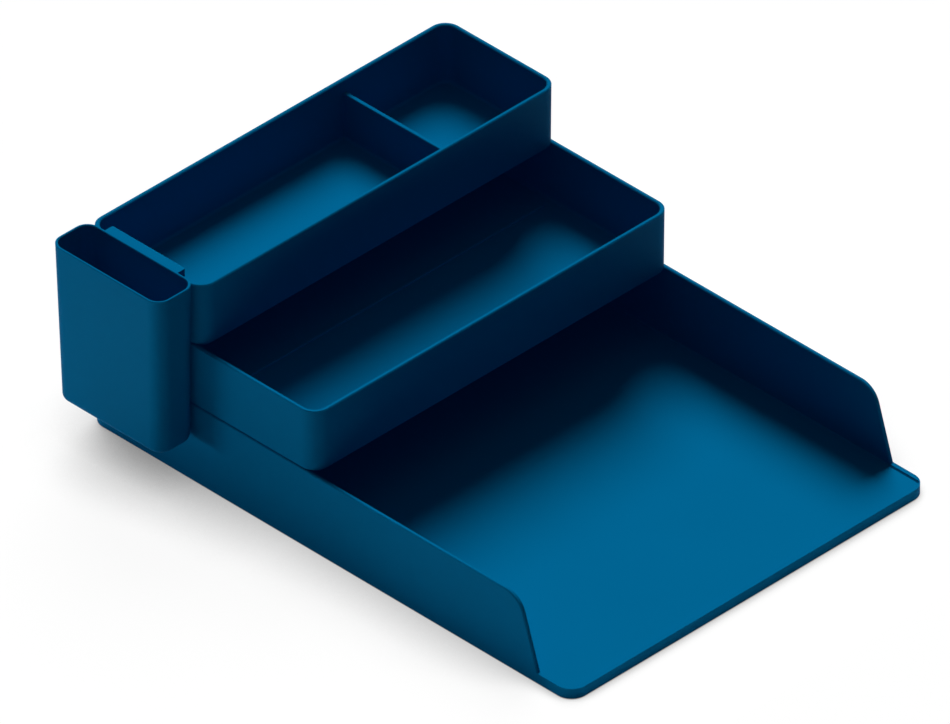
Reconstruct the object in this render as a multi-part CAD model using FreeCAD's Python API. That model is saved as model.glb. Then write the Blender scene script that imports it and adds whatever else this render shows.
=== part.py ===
import FreeCAD, Part
import math
import os

# Stackable desk organiser of moulded plastic: an open-fronted letter tray, two trays
# stacked on its rim and a narrow cup hooked over the wall of the top tray.
# Lengths are in millimetres and angles in degrees. +Z is up and the desk is at z = 0.
# +X is to the right of a person at the open front, which faces -Y.

# Footprints of the three trays, which share their width and their back face
tray_width = 240.0
letter_depth = 324.0
middle_depth = 152.8
top_depth = 76.8
plan_radius = 9.0

# Walls shared by the trays
wall = 2.3
outer_draft = 0.3
inner_draft = 0.6
rim_bevel = 0.5

# Letter tray, heights above the lower edge of its skirt
letter_height = 44.3
letter_floor_height = 4.7
letter_floor_thickness = 2.3
letter_floor_bevel = 0.7
curb_height = 5.6
curb_width = 2.2
curb_corner_radius = 2.5
wall_end_setback = 23.0
wall_end_lean = 17.7
wall_end_radius = 12.5

# Stacked trays, heights above the rim that they rest on
stack_height = 34.8
stack_floor_thickness = 1.8
stack_floor_radius = 1.5
stack_foot_bevel = 1.0

# Ring under a stacked tray, which drops inside the rim of the tray below
ring_clearance = 0.5
ring_depth = 1.6
ring_thickness = 1.6

# Low rib across the floor of the middle tray, and its distance from the back face
rib_width = 2.3
rib_height = 0.9
rib_bevel = 0.4
rib_end_gap = 6.9
rib_from_back = 75.0

# Divider across the top tray
divider_x = 49.9
divider_drop = 7.5
divider_thickness = 2.3
divider_draft = 0.4
divider_foot_radius = 1.5
divider_top_round = 0.6

# How far ribs and dividers run into the wall and floor that carry them
root = 0.8

# Round rubber feet under the letter tray
foot_diameter = 12.0
foot_proud = 0.6
foot_seat_depth = 0.5
foot_seat_clearance = 0.2
foot_edge_bevel = 0.3
foot_boss_wall = 1.8
foot_inset = 20.0

# Cup
cup_depth = 25.9
cup_length = 74.0
cup_height = 90.5
cup_radius = 7.6
cup_wall = 1.3
cup_floor = 1.8
cup_draft = 1.3
cup_front_draft = 0.76
cup_bottom_round = 3.6
cup_inner_bevel = 1.6
cup_rim_bevel = 0.3
cup_gap = 0.3
cup_back_inset = 0.8

# Hook of the cup
hook_length = 49.0
hook_thickness = 2.8
hook_clearance = 1.3
hook_corner_radius = 1.6
hook_bend = 0.9
hook_end_offset = 12.0
lip_thickness = 1.5
lip_length = 12.0
lip_corner = 4.0

# Places that follow from the sizes above
half_width = tray_width / 2
back_y = letter_depth / 2
letter_front_y = back_y - letter_depth
middle_front_y = back_y - middle_depth
top_front_y = back_y - top_depth
letter_base_z = foot_proud
letter_rim_z = letter_base_z + letter_height
middle_rim_z = letter_rim_z + stack_height
top_rim_z = middle_rim_z + stack_height
cup_rim_z = top_rim_z + hook_thickness
cup_back_y = back_y - cup_back_inset
foot_radius = foot_diameter / 2

# The outline on the desk is centred on the origin, so the trays stand right of it
# by half of what the cup adds on the left
centring_shift = (cup_gap + cup_depth) / 2

# Lengths used only for cutting and picking edges
overcut = 5.0
tolerance = 0.001


def vec(x, y, z):
    return FreeCAD.Vector(x, y, z)


def slope(degrees):
    return math.tan(math.radians(degrees))


def inner_plan(plan, margin):
    """A plan (left, right, front, back) drawn in by a margin on all four sides."""
    left, right, front, back = plan
    return (left + margin, right - margin, front + margin, back - margin)


def plan_corners(plan, z):
    """Corner points of a plan at height z, in turn from the front left one."""
    left, right, front, back = plan
    return [vec(left, front, z), vec(right, front, z), vec(right, back, z), vec(left, back, z)]


def polygon_face(points):
    """Flat face inside a closed ring of points."""
    return Part.Face(Part.makePolygon(points + points[:1]))


def drafted_block(plan, z_low, z_high, radius, drafts):
    """Solid with rounded corners whose four sides lean in going down. Its plan is the one at z_high."""
    left, right, front, back = plan
    fall = z_high - z_low
    in_left, in_right, in_front, in_back = [fall * slope(draft) for draft in drafts]
    low = plan_corners((left + in_left, right - in_right, front + in_front, back - in_back), z_low)
    high = plan_corners(plan, z_high)
    faces = [polygon_face(low[::-1]), polygon_face(high)]
    for place, corner in enumerate(low):
        following = (place + 1) % len(low)
        faces.append(polygon_face([corner, low[following], high[following], high[place]]))
    solid = Part.Solid(Part.Shell(faces))
    uprights = [edge for edge in solid.Edges if edge.BoundBox.ZLength > tolerance]
    return solid.makeFillet(radius, uprights)


def level_edges(shape, z):
    """Edges that lie flat at height z."""
    chosen = []
    for edge in shape.Edges:
        box = edge.BoundBox
        if abs(box.ZMin - z) < tolerance and abs(box.ZMax - z) < tolerance:
            chosen.append(edge)
    return chosen


def profile_solid(outline, direction):
    """Solid swept straight along a vector by a closed outline of curves."""
    wire = Part.Wire([curve.toShape() for curve in outline])
    return Part.Face(wire).extrude(direction)


def tray_plan(front_y):
    return (-half_width, half_width, front_y, back_y)


def even_drafts(draft):
    return (draft, draft, draft, draft)


def wall_end_corner():
    """Where the slanted wall end would meet the rim of the letter tray: its y and z."""
    rise = letter_rim_z - (letter_base_z + curb_height)
    return letter_front_y + wall_end_setback + rise * slope(wall_end_lean), letter_rim_z


def open_front_cut():
    """Space above the curb and ahead of the side walls, whose ends lean back and round over."""
    curb_z = letter_base_z + curb_height
    foot_y = letter_front_y + wall_end_setback
    corner_y, corner_z = wall_end_corner()
    lean = math.radians(wall_end_lean)
    turn = math.pi / 2 - lean
    reach = wall_end_radius * math.tan(turn / 2)
    low_y = corner_y - reach * math.sin(lean)
    low_z = corner_z - reach * math.cos(lean)
    high_y = corner_y + reach
    centre_y = high_y
    centre_z = corner_z - wall_end_radius
    half_turn = turn / 2
    mid_y = centre_y - wall_end_radius * math.sin(half_turn)
    mid_z = centre_z + wall_end_radius * math.cos(half_turn)
    x = -half_width - overcut
    ahead_y = letter_front_y - overcut
    above_z = letter_rim_z + overcut
    outline = [
        Part.LineSegment(vec(x, ahead_y, curb_z), vec(x, foot_y, curb_z)),
        Part.LineSegment(vec(x, foot_y, curb_z), vec(x, low_y, low_z)),
        Part.Arc(vec(x, low_y, low_z), vec(x, mid_y, mid_z), vec(x, high_y, corner_z)),
        Part.LineSegment(vec(x, high_y, corner_z), vec(x, high_y, above_z)),
        Part.LineSegment(vec(x, high_y, above_z), vec(x, ahead_y, above_z)),
        Part.LineSegment(vec(x, ahead_y, above_z), vec(x, ahead_y, curb_z)),
    ]
    return profile_solid(outline, vec(tray_width + 2 * overcut, 0, 0))


def foot_places():
    """Centres of the four feet under the letter tray, front left first."""
    side = half_width - foot_inset
    ahead = letter_front_y + foot_inset
    behind = back_y - foot_inset
    return [(-side, ahead), (side, ahead), (-side, behind), (side, behind)]


def foot_boss(x, y):
    """Round boss under the letter tray's floor, level with the skirt."""
    radius = foot_radius + foot_seat_clearance + foot_boss_wall
    height = letter_floor_height - letter_floor_thickness + root
    return Part.makeCylinder(radius, height, vec(x, y, letter_base_z))


def foot_seat(x, y):
    """Shallow pocket in a boss that takes a foot."""
    return Part.makeCylinder(foot_radius + foot_seat_clearance, foot_seat_depth, vec(x, y, letter_base_z))


def letter_rim_edges(shape):
    """Outer and inner edges of the three walls, along the rim and down both wall ends."""
    chosen = []
    rim_start_y = wall_end_corner()[0] + wall_end_radius
    curb_z = letter_base_z + curb_height
    for edge in shape.Edges:
        box = edge.BoundBox
        across = box.YLength < tolerance and box.XLength < wall + tolerance
        on_rim = abs(box.ZMin - letter_rim_z) < tolerance
        on_end = box.ZMin > curb_z - tolerance and box.YMax < rim_start_y and box.ZLength > wall
        if (on_rim or on_end) and not across:
            chosen.append(edge)
    return chosen


def tray_hollow(plan, floor_z, radius):
    """Space over the letter tray's floor, with a bevel where its walls meet the floor."""
    hollow = drafted_block(plan, floor_z, letter_rim_z, radius, even_drafts(outer_draft))
    return hollow.makeChamfer(letter_floor_bevel, level_edges(hollow, floor_z))


def letter_tray():
    """Floor for A4 and letter paper, three walls, an open front behind a low curb and a skirt."""
    plan = tray_plan(letter_front_y)
    body = drafted_block(plan, letter_base_z, letter_rim_z, plan_radius, even_drafts(outer_draft))
    left, right, front, back = inner_plan(plan, wall)
    curb_y = front - wall + curb_width
    floor_z = letter_base_z + letter_floor_height
    body = body.cut(tray_hollow((left, right, curb_y, back), floor_z, plan_radius - wall))
    body = body.cut(tray_hollow((left, right, curb_y, 0), floor_z, curb_corner_radius))
    body = body.cut(open_front_cut())
    body = body.makeChamfer(rim_bevel, letter_rim_edges(body))
    under_z = floor_z - letter_floor_thickness
    under_plan = inner_plan(plan, wall + letter_height * slope(outer_draft))
    under = drafted_block(under_plan, letter_base_z - overcut, under_z, plan_radius - wall, even_drafts(0))
    body = body.cut(under)
    for x, y in foot_places():
        body = body.fuse(foot_boss(x, y))
    for x, y in foot_places():
        body = body.cut(foot_seat(x, y))
    return body


def letter_foot(x, y):
    """Rubber disc with a bevelled lower edge, seated in its boss."""
    disc = Part.makeCylinder(foot_radius, foot_proud + foot_seat_depth, vec(x, y, 0))
    return disc.makeChamfer(foot_edge_bevel, level_edges(disc, 0))


def stacking_ring(plan, rest_z):
    """Ring under a stacked tray that drops inside the rim below with a clearance."""
    outer = inner_plan(plan, wall + ring_clearance)
    inner = inner_plan(outer, ring_thickness)
    low_z = rest_z - ring_depth
    high_z = rest_z + root
    outer_radius = plan_radius - wall - ring_clearance
    ring = drafted_block(outer, low_z, high_z, outer_radius, even_drafts(outer_draft))
    middle = drafted_block(inner, low_z - root, high_z + root, outer_radius - ring_thickness, even_drafts(0))
    return ring.cut(middle)


def stacked_tray(front_y, rest_z):
    """Tray closed on all four sides that rests on the rim of the tray below."""
    plan = tray_plan(front_y)
    rim_z = rest_z + stack_height
    floor_z = rest_z + stack_floor_thickness
    body = drafted_block(plan, rest_z, rim_z, plan_radius, even_drafts(outer_draft))
    body = body.makeChamfer(stack_foot_bevel, level_edges(body, rest_z))
    inner = inner_plan(plan, wall)
    hollow = drafted_block(inner, floor_z, rim_z, plan_radius - wall, even_drafts(inner_draft))
    hollow = hollow.makeFillet(stack_floor_radius, level_edges(hollow, floor_z))
    body = body.cut(hollow)
    body = body.makeChamfer(rim_bevel, level_edges(body, rim_z))
    return body.fuse(stacking_ring(plan, rest_z))


def floor_rib():
    """Low bevelled rib across the middle tray's floor, short of the side walls."""
    floor_z = letter_rim_z + stack_floor_thickness
    length = tray_width - 2 * (wall + rib_end_gap)
    corner = vec(-length / 2, back_y - rib_from_back - rib_width / 2, floor_z - root)
    rib = Part.makeBox(length, rib_width, rib_height + root, corner)
    return rib.makeChamfer(rib_bevel, level_edges(rib, floor_z + rib_height))


def middle_tray():
    body = stacked_tray(middle_front_y, letter_rim_z)
    return body.fuse(floor_rib()).removeSplitter()


def divider():
    """Upright wall across the top tray: a foot fillet on each side, draft and a rounded top."""
    floor_z = middle_rim_z + stack_floor_thickness
    top_z = top_rim_z - divider_drop
    half_top = divider_thickness / 2
    start_z = floor_z + divider_foot_radius
    half_low = half_top + (top_z - start_z) * slope(divider_draft)
    half_foot = half_low + divider_foot_radius
    sag = divider_foot_radius * (1 - math.sqrt(0.5))
    y = top_front_y + wall - root
    root_z = floor_z - root
    top_sag = divider_top_round * (1 - math.sqrt(0.5))
    outline = [
        Part.LineSegment(vec(-half_foot, y, root_z), vec(half_foot, y, root_z)),
        Part.LineSegment(vec(half_foot, y, root_z), vec(half_foot, y, floor_z)),
        Part.Arc(vec(half_foot, y, floor_z), vec(half_low + sag, y, floor_z + sag),
                 vec(half_low, y, start_z)),
        Part.LineSegment(vec(half_low, y, start_z), vec(half_top, y, top_z - divider_top_round)),
        Part.Arc(vec(half_top, y, top_z - divider_top_round), vec(half_top - top_sag, y, top_z - top_sag),
                 vec(half_top - divider_top_round, y, top_z)),
        Part.LineSegment(vec(half_top - divider_top_round, y, top_z),
                         vec(divider_top_round - half_top, y, top_z)),
        Part.Arc(vec(divider_top_round - half_top, y, top_z), vec(top_sag - half_top, y, top_z - top_sag),
                 vec(-half_top, y, top_z - divider_top_round)),
        Part.LineSegment(vec(-half_top, y, top_z - divider_top_round), vec(-half_low, y, start_z)),
        Part.Arc(vec(-half_low, y, start_z), vec(-half_low - sag, y, floor_z + sag),
                 vec(-half_foot, y, floor_z)),
        Part.LineSegment(vec(-half_foot, y, floor_z), vec(-half_foot, y, root_z)),
    ]
    length = top_depth - 2 * (wall - root)
    solid = profile_solid(outline, vec(0, length, 0))
    solid.translate(vec(divider_x, 0, 0))
    return solid


def top_tray():
    body = stacked_tray(top_front_y, middle_rim_z)
    return body.fuse(divider()).removeSplitter()


def hook():
    """Plate over the tray's wall with a lip that goes down inside it."""
    near_x = -half_width - cup_gap
    lip_x = -half_width + wall + hook_clearance
    far_x = lip_x + lip_thickness
    under_z = cup_rim_z - hook_thickness
    low_z = cup_rim_z - lip_length
    sag = hook_bend * (1 - math.sqrt(0.5))
    back = cup_back_y - hook_end_offset
    front = back - hook_length
    start_x = near_x - root
    outline = [
        Part.LineSegment(vec(start_x, front, under_z), vec(lip_x, front, under_z)),
        Part.LineSegment(vec(lip_x, front, under_z), vec(lip_x, front, low_z)),
        Part.LineSegment(vec(lip_x, front, low_z), vec(far_x, front, low_z)),
        Part.LineSegment(vec(far_x, front, low_z), vec(far_x, front, cup_rim_z - hook_bend)),
        Part.Arc(vec(far_x, front, cup_rim_z - hook_bend), vec(far_x - sag, front, cup_rim_z - sag),
                 vec(far_x - hook_bend, front, cup_rim_z)),
        Part.LineSegment(vec(far_x - hook_bend, front, cup_rim_z), vec(start_x, front, cup_rim_z)),
        Part.LineSegment(vec(start_x, front, cup_rim_z), vec(start_x, front, under_z)),
    ]
    solid = profile_solid(outline, vec(0, hook_length, 0))
    lip_corners = [edge for edge in level_edges(solid, low_z) if edge.BoundBox.YLength < tolerance]
    solid = solid.makeFillet(lip_corner, lip_corners)
    round_plan = (start_x - 2 * hook_corner_radius, far_x, front, back)
    rounded = drafted_block(round_plan, low_z, cup_rim_z, hook_corner_radius, even_drafts(0))
    return solid.common(rounded)


def hanging_cup():
    """Narrow deep cup beside the trays, with a hook moulded along its upper edge."""
    right = -half_width - cup_gap
    plan = (right - cup_depth, right, cup_back_y - cup_length, cup_back_y)
    low_z = cup_rim_z - cup_height
    drafts = (cup_draft, 0, cup_front_draft, cup_draft)
    body = drafted_block(plan, low_z, cup_rim_z, cup_radius, drafts)
    body = body.makeFillet(cup_bottom_round, level_edges(body, low_z))
    inner_radius = cup_radius - cup_wall
    floor_z = low_z + cup_floor
    hollow = drafted_block(inner_plan(plan, cup_wall), floor_z, cup_rim_z, inner_radius, drafts)
    hollow = hollow.makeChamfer(cup_inner_bevel, level_edges(hollow, floor_z))
    body = body.cut(hollow)
    body = body.makeChamfer(cup_rim_bevel, level_edges(body, cup_rim_z))
    return body.fuse(hook()).removeSplitter()


def export(name, shape):
    """Centres the outline on the desk and writes one node."""
    placed = shape.copy()
    placed.translate(vec(centring_shift, 0, 0))
    print(name, "valid", placed.isValid(), "solids", len(placed.Solids), "volume", round(placed.Volume))
    placed.exportStep("parts/" + name + ".step")


def main():
    os.makedirs("parts", exist_ok=True)
    export("letter_tray", letter_tray())
    for number, (x, y) in enumerate(foot_places(), 1):
        export("letter_tray_foot_" + str(number), letter_foot(x, y))
    export("middle_tray", middle_tray())
    export("top_tray", top_tray())
    export("hanging_cup", hanging_cup())


main()
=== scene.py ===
import math

import bpy
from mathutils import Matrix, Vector

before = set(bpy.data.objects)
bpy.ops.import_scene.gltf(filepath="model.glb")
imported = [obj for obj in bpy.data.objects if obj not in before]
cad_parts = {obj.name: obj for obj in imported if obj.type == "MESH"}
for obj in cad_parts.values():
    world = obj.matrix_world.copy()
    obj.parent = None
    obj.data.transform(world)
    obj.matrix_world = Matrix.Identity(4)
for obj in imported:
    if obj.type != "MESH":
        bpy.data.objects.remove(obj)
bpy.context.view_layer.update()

# A desk organiser of blue injection-moulded polystyrene on a white table. Lengths are in
# metres unless a name says otherwise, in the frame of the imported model.

MM = 0.001

# Colours as they are seen, in sRGB
TRAY_BLUE = "#005C86"
TRAY_BLUE_DEEP = "#005982"
# A faint navy glow painted into the plastic, so that its shaded corners are never black
TRAY_BLUE_PAINTED_GLOW = "#000313"
RUBBER_GREY = "#2B2C2E"
RUBBER_WORN = "#38393B"
TABLE_WHITE = "#F7F7F6"
CLEAR_WHITE = "#FFFFFF"

# The plastic: how wide the clouds in its dye and the grain from its mould are, how deep and how
# strong that grain shows, and how rough the plastic is from its smoothest to its dullest grains.
# The specular level is far below a plastic's own, because the photograph shows no highlight.
DYE_CLOUD = 60 * MM
MOULD_GRAIN = 0.7 * MM
MOULD_GRAIN_DEPTH = 0.02 * MM
MOULD_GRAIN_STRENGTH = 0.12
PLASTIC_SMOOTHEST = 0.42
PLASTIC_DULLEST = 0.52
PLASTIC_IOR = 1.5
PLASTIC_SPECULAR = 0.005

# The rubber: how wide and how deep its scuffs are, and its gloss
SCUFF = 2.5 * MM
SCUFF_DEPTH = 0.05 * MM
SCUFF_STRENGTH = 0.3
RUBBER_IOR = 1.52
RUBBER_ROUGHNESS = 0.8
RUBBER_SPECULAR = 0.3

# How the photograph's camera saw the object. The picture is FRAME_WIDTH wide at AIM.
CAMERA_AZIMUTH_DEGREES = -45.018
CAMERA_ELEVATION_DEGREES = 35.667
CAMERA_DISTANCE = 15.0
CAMERA_NEAR_CLIP = 1.0
CAMERA_FAR_CLIP = 100.0
SENSOR_WIDTH_MM = 36.0
FRAME_WIDTH = 0.45092
AIM = Vector((0.01798, 0.02698, 0.03894))

# The two soft lights: a high one behind the object and to its right, and a low strip at its left.
# Each share is what the light gives a white face square to the axis named with it. 1 is full white.
KEY_TOWARDS = Vector((0.69, 0.62, 1.0))
KEY_WIDTH_DEGREES = 34
KEY_SHARE_ON_LEVEL = 1.12
STRIP_TOWARDS = Vector((-1.0, 0.8, 0.0))
STRIP_DISTANCE = 3.2
STRIP_LENGTH = 1.1
STRIP_HEIGHT = 0.09
STRIP_SHARE_ON_UPRIGHT = 0.17
ROOM_OVERHEAD = 0.17

# The table: how far it reaches to the sides and back and where its front edge is. Of what is seen
# of it, the glow's share is white with a shade painted on by the object's nearness, and the rest
# is lit paint.
TABLE_REACH = 4.0
TABLE_FRONT = -0.225
TABLE_PAINTED_SHADE_GLOW = 0.95
TABLE_PAINTED_SHADE_REACH = 0.07
TABLE_PAINTED_SHADE_LIFT = 1.27
TABLE_PAINTED_SHADE_SAMPLES = 16


def hex_to_linear(code, alpha=1.0):
    """An sRGB hex colour as linear red, green, blue and alpha, by the sRGB transfer curve."""
    channels = []
    for start in (1, 3, 5):
        value = int(code[start:start + 2], 16) / 255
        channels.append(value / 12.92 if value <= 0.04045 else ((value + 0.055) / 1.055) ** 2.4)
    return (*channels, alpha)


def add_node(tree, kind, inputs=None, links=None, **settings):
    """Adds a node with its settings, socket values and links, each link given as a source socket."""
    made = tree.nodes.new(kind)
    for name, value in settings.items():
        setattr(made, name, value)
    for socket, value in (inputs or {}).items():
        made.inputs[socket].default_value = value
    for socket, source in (links or {}).items():
        tree.links.new(source, made.inputs[socket])
    return made


def empty_material(name):
    """A material whose tree holds only its output, and that output."""
    material = bpy.data.materials.new(name)
    material.use_nodes = True
    material.node_tree.nodes.clear()
    output = add_node(material.node_tree, "ShaderNodeOutputMaterial")
    return material, material.node_tree, output


def moulded_polystyrene():
    """Injection-moulded polystyrene, dyed through in blue, from a finely textured steel mould.

    To the eye it is even and saturated, with a soft sheen and no sparkle. Up close it has
    a fine grain, and the dye is very slightly cloudy where the melt has flowed. A faint navy glow
    is painted into the plastic, which keeps its darkest corners navy, never black.
    """
    material, tree, output = empty_material("blue_moulded_polystyrene")
    place = add_node(tree, "ShaderNodeTexCoord")
    flow = add_node(tree, "ShaderNodeTexNoise", noise_dimensions="3D",
                    inputs={"Scale": 1 / DYE_CLOUD, "Detail": 2.0, "Roughness": 0.5},
                    links={"Vector": place.outputs["Object"]})
    tone = add_node(tree, "ShaderNodeMix", data_type="RGBA",
                    inputs={"A": hex_to_linear(TRAY_BLUE_DEEP), "B": hex_to_linear(TRAY_BLUE)},
                    links={"Factor": flow.outputs["Fac"]})
    grain = add_node(tree, "ShaderNodeTexNoise", noise_dimensions="3D",
                     inputs={"Scale": 1 / MOULD_GRAIN, "Detail": 3.0, "Roughness": 0.6},
                     links={"Vector": place.outputs["Object"]})
    sheen = add_node(tree, "ShaderNodeMapRange",
                     inputs={"From Min": 0.3, "From Max": 0.7,
                             "To Min": PLASTIC_SMOOTHEST, "To Max": PLASTIC_DULLEST},
                     links={"Value": grain.outputs["Fac"]})
    relief = add_node(tree, "ShaderNodeBump",
                      inputs={"Strength": MOULD_GRAIN_STRENGTH, "Distance": MOULD_GRAIN_DEPTH},
                      links={"Height": grain.outputs["Fac"]})
    # The emission is a painted glow: it lifts every shaded part of the plastic to navy.
    shader = add_node(tree, "ShaderNodeBsdfPrincipled",
                      inputs={"IOR": PLASTIC_IOR, "Specular IOR Level": PLASTIC_SPECULAR,
                              "Emission Color": hex_to_linear(TRAY_BLUE_PAINTED_GLOW),
                              "Emission Strength": 1.0},
                      links={"Base Color": tone.outputs["Result"],
                             "Roughness": sheen.outputs["Result"],
                             "Normal": relief.outputs["Normal"]})
    tree.links.new(shader.outputs["BSDF"], output.inputs["Surface"])
    return material


def moulded_rubber():
    """Compression-moulded rubber: dull, almost black, a little paler where it is scuffed."""
    material, tree, output = empty_material("black_moulded_rubber")
    place = add_node(tree, "ShaderNodeTexCoord")
    scuff = add_node(tree, "ShaderNodeTexNoise", noise_dimensions="3D",
                     inputs={"Scale": 1 / SCUFF, "Detail": 4.0, "Roughness": 0.65},
                     links={"Vector": place.outputs["Object"]})
    tone = add_node(tree, "ShaderNodeMix", data_type="RGBA",
                    inputs={"A": hex_to_linear(RUBBER_GREY), "B": hex_to_linear(RUBBER_WORN)},
                    links={"Factor": scuff.outputs["Fac"]})
    relief = add_node(tree, "ShaderNodeBump",
                      inputs={"Strength": SCUFF_STRENGTH, "Distance": SCUFF_DEPTH},
                      links={"Height": scuff.outputs["Fac"]})
    shader = add_node(tree, "ShaderNodeBsdfPrincipled",
                      inputs={"IOR": RUBBER_IOR, "Roughness": RUBBER_ROUGHNESS,
                              "Specular IOR Level": RUBBER_SPECULAR},
                      links={"Base Color": tone.outputs["Result"],
                             "Normal": relief.outputs["Normal"]})
    tree.links.new(shader.outputs["BSDF"], output.inputs["Surface"])
    return material


def direct_sight(tree):
    """1 for rays that show the surface itself, mirrored or through glass too, and 0 for light."""
    path = add_node(tree, "ShaderNodeLightPath")
    seen = add_node(tree, "ShaderNodeMath", operation="ADD",
                    links={0: path.outputs["Is Camera Ray"], 1: path.outputs["Is Glossy Ray"]})
    total = add_node(tree, "ShaderNodeMath", operation="ADD", use_clamp=True,
                     links={0: seen.outputs[0], 1: path.outputs["Is Transmission Ray"]})
    return total.outputs[0]


def table_top():
    """A pale matt table, seen white where it is open, with a grey shade painted on where the object
    is near.

    That painted shadow is darkest where the object touches the table, and the lamps' own shadow
    lies faintly over it.
    """
    material, tree, output = empty_material("pale_table")
    paint = add_node(tree, "ShaderNodeBsdfDiffuse", inputs={"Color": hex_to_linear(TABLE_WHITE)})
    # Painted shadow: the seen glow dims by how much of the space nearby the object fills.
    painted_shade = add_node(tree, "ShaderNodeAmbientOcclusion", samples=TABLE_PAINTED_SHADE_SAMPLES,
                        inputs={"Distance": TABLE_PAINTED_SHADE_REACH})
    lifted = add_node(tree, "ShaderNodeMath", operation="MULTIPLY", use_clamp=True,
                      inputs={1: TABLE_PAINTED_SHADE_LIFT}, links={0: painted_shade.outputs["AO"]})
    glow = add_node(tree, "ShaderNodeEmission", inputs={"Color": hex_to_linear(CLEAR_WHITE)},
                    links={"Strength": lifted.outputs[0]})
    share = add_node(tree, "ShaderNodeMath", operation="MULTIPLY", inputs={1: TABLE_PAINTED_SHADE_GLOW},
                     links={0: direct_sight(tree)})
    mixed = add_node(tree, "ShaderNodeMixShader",
                     links={0: share.outputs[0], 1: paint.outputs[0], 2: glow.outputs[0]})
    tree.links.new(mixed.outputs[0], output.inputs["Surface"])
    return material


def dress(names, material):
    """Puts a material on every slot of the named CAD nodes."""
    for name in names:
        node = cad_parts[name]
        if not node.material_slots:
            node.data.materials.append(material)
        for slot in node.material_slots:
            slot.material = material


def add_table():
    """A flat table top at height 0 whose front edge is close to the object's own."""
    corners = [(-TABLE_REACH, TABLE_FRONT, 0), (TABLE_REACH, TABLE_FRONT, 0),
               (TABLE_REACH, TABLE_REACH, 0), (-TABLE_REACH, TABLE_REACH, 0)]
    mesh = bpy.data.meshes.new("table")
    mesh.from_pydata(corners, [], [(0, 1, 2, 3)])
    table = bpy.data.objects.new("table", mesh)
    bpy.context.scene.collection.objects.link(table)
    mesh.materials.append(table_top())


def place_lamp(lamp, location, way):
    """Puts a lamp at a place, shining back along the way that leads to it, with no mirror image."""
    holder = bpy.data.objects.new(lamp.name, lamp)
    holder.location = location
    holder.rotation_euler = (-way).to_track_quat("-Z", "Y").to_euler()
    holder.visible_glossy = False
    holder.visible_camera = False
    bpy.context.scene.collection.objects.link(holder)


def add_key():
    """A wide lamp so far off that it lights every place alike.

    A white face that gets pi watts per square metre looks full white. A level one gets the
    lamp's power times the cosine between straight up and the way to the lamp.
    """
    way = KEY_TOWARDS.normalized()
    lamp = bpy.data.lights.new("key", "SUN")
    lamp.angle = math.radians(KEY_WIDTH_DEGREES)
    lamp.energy = KEY_SHARE_ON_LEVEL * math.pi / way.z
    place_lamp(lamp, way, way)


def add_low_strip():
    """A long low lamp on the table at the object's left and behind it.

    It gives a white face across the X axis its share of pi watts per square metre. At the
    distance d that takes a power of share * pi^2 * d^2 / cosine of the angle to that axis.
    """
    way = STRIP_TOWARDS.normalized()
    lamp = bpy.data.lights.new("strip", "AREA")
    lamp.shape = "RECTANGLE"
    lamp.size = STRIP_LENGTH
    lamp.size_y = STRIP_HEIGHT
    lamp.energy = STRIP_SHARE_ON_UPRIGHT * math.pi ** 2 * STRIP_DISTANCE ** 2 / abs(way.x)
    place_lamp(lamp, way * STRIP_DISTANCE + Vector((0, 0, STRIP_HEIGHT / 2)), way)


def add_room():
    """A dim room, brightest overhead as the square of the height, and white where it is seen."""
    world = bpy.data.worlds.new("room")
    bpy.context.scene.world = world
    world.use_nodes = True
    tree = world.node_tree
    tree.nodes.clear()
    way = add_node(tree, "ShaderNodeTexCoord")
    parts = add_node(tree, "ShaderNodeSeparateXYZ", links={"Vector": way.outputs["Generated"]})
    squared = add_node(tree, "ShaderNodeMath", operation="MULTIPLY",
                       links={0: parts.outputs["Z"], 1: parts.outputs["Z"]})
    dim = add_node(tree, "ShaderNodeMath", operation="MULTIPLY", inputs={1: ROOM_OVERHEAD},
                   links={0: squared.outputs[0]})
    strength = add_node(tree, "ShaderNodeMix", data_type="FLOAT", inputs={"B": 1.0},
                        links={"Factor": direct_sight(tree), "A": dim.outputs[0]})
    glow = add_node(tree, "ShaderNodeBackground", inputs={"Color": hex_to_linear(CLEAR_WHITE)},
                    links={"Strength": strength.outputs["Result"]})
    output = add_node(tree, "ShaderNodeOutputWorld")
    tree.links.new(glow.outputs[0], output.inputs["Surface"])


def add_camera():
    """A long lens far away, so that parallel edges stay nearly parallel as in the photograph."""
    azimuth = math.radians(CAMERA_AZIMUTH_DEGREES)
    elevation = math.radians(CAMERA_ELEVATION_DEGREES)
    away = Vector((math.sin(azimuth) * math.cos(elevation),
                   -math.cos(azimuth) * math.cos(elevation),
                   math.sin(elevation)))
    lens = bpy.data.cameras.new("camera")
    lens.sensor_fit = "HORIZONTAL"
    lens.sensor_width = SENSOR_WIDTH_MM
    lens.lens = CAMERA_DISTANCE * SENSOR_WIDTH_MM / FRAME_WIDTH
    lens.clip_start = CAMERA_NEAR_CLIP
    lens.clip_end = CAMERA_FAR_CLIP
    camera = bpy.data.objects.new("camera", lens)
    camera.location = AIM + away * CAMERA_DISTANCE
    camera.rotation_euler = (-away).to_track_quat("-Z", "Y").to_euler()
    bpy.context.scene.collection.objects.link(camera)
    bpy.context.scene.camera = camera


def main():
    feet = [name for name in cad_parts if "_foot_" in name]
    mouldings = [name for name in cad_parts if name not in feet]
    dress(mouldings, moulded_polystyrene())
    dress(feet, moulded_rubber())
    add_table()
    add_key()
    add_low_strip()
    add_room()
    add_camera()
    bpy.context.scene.view_settings.view_transform = "Standard"


main()
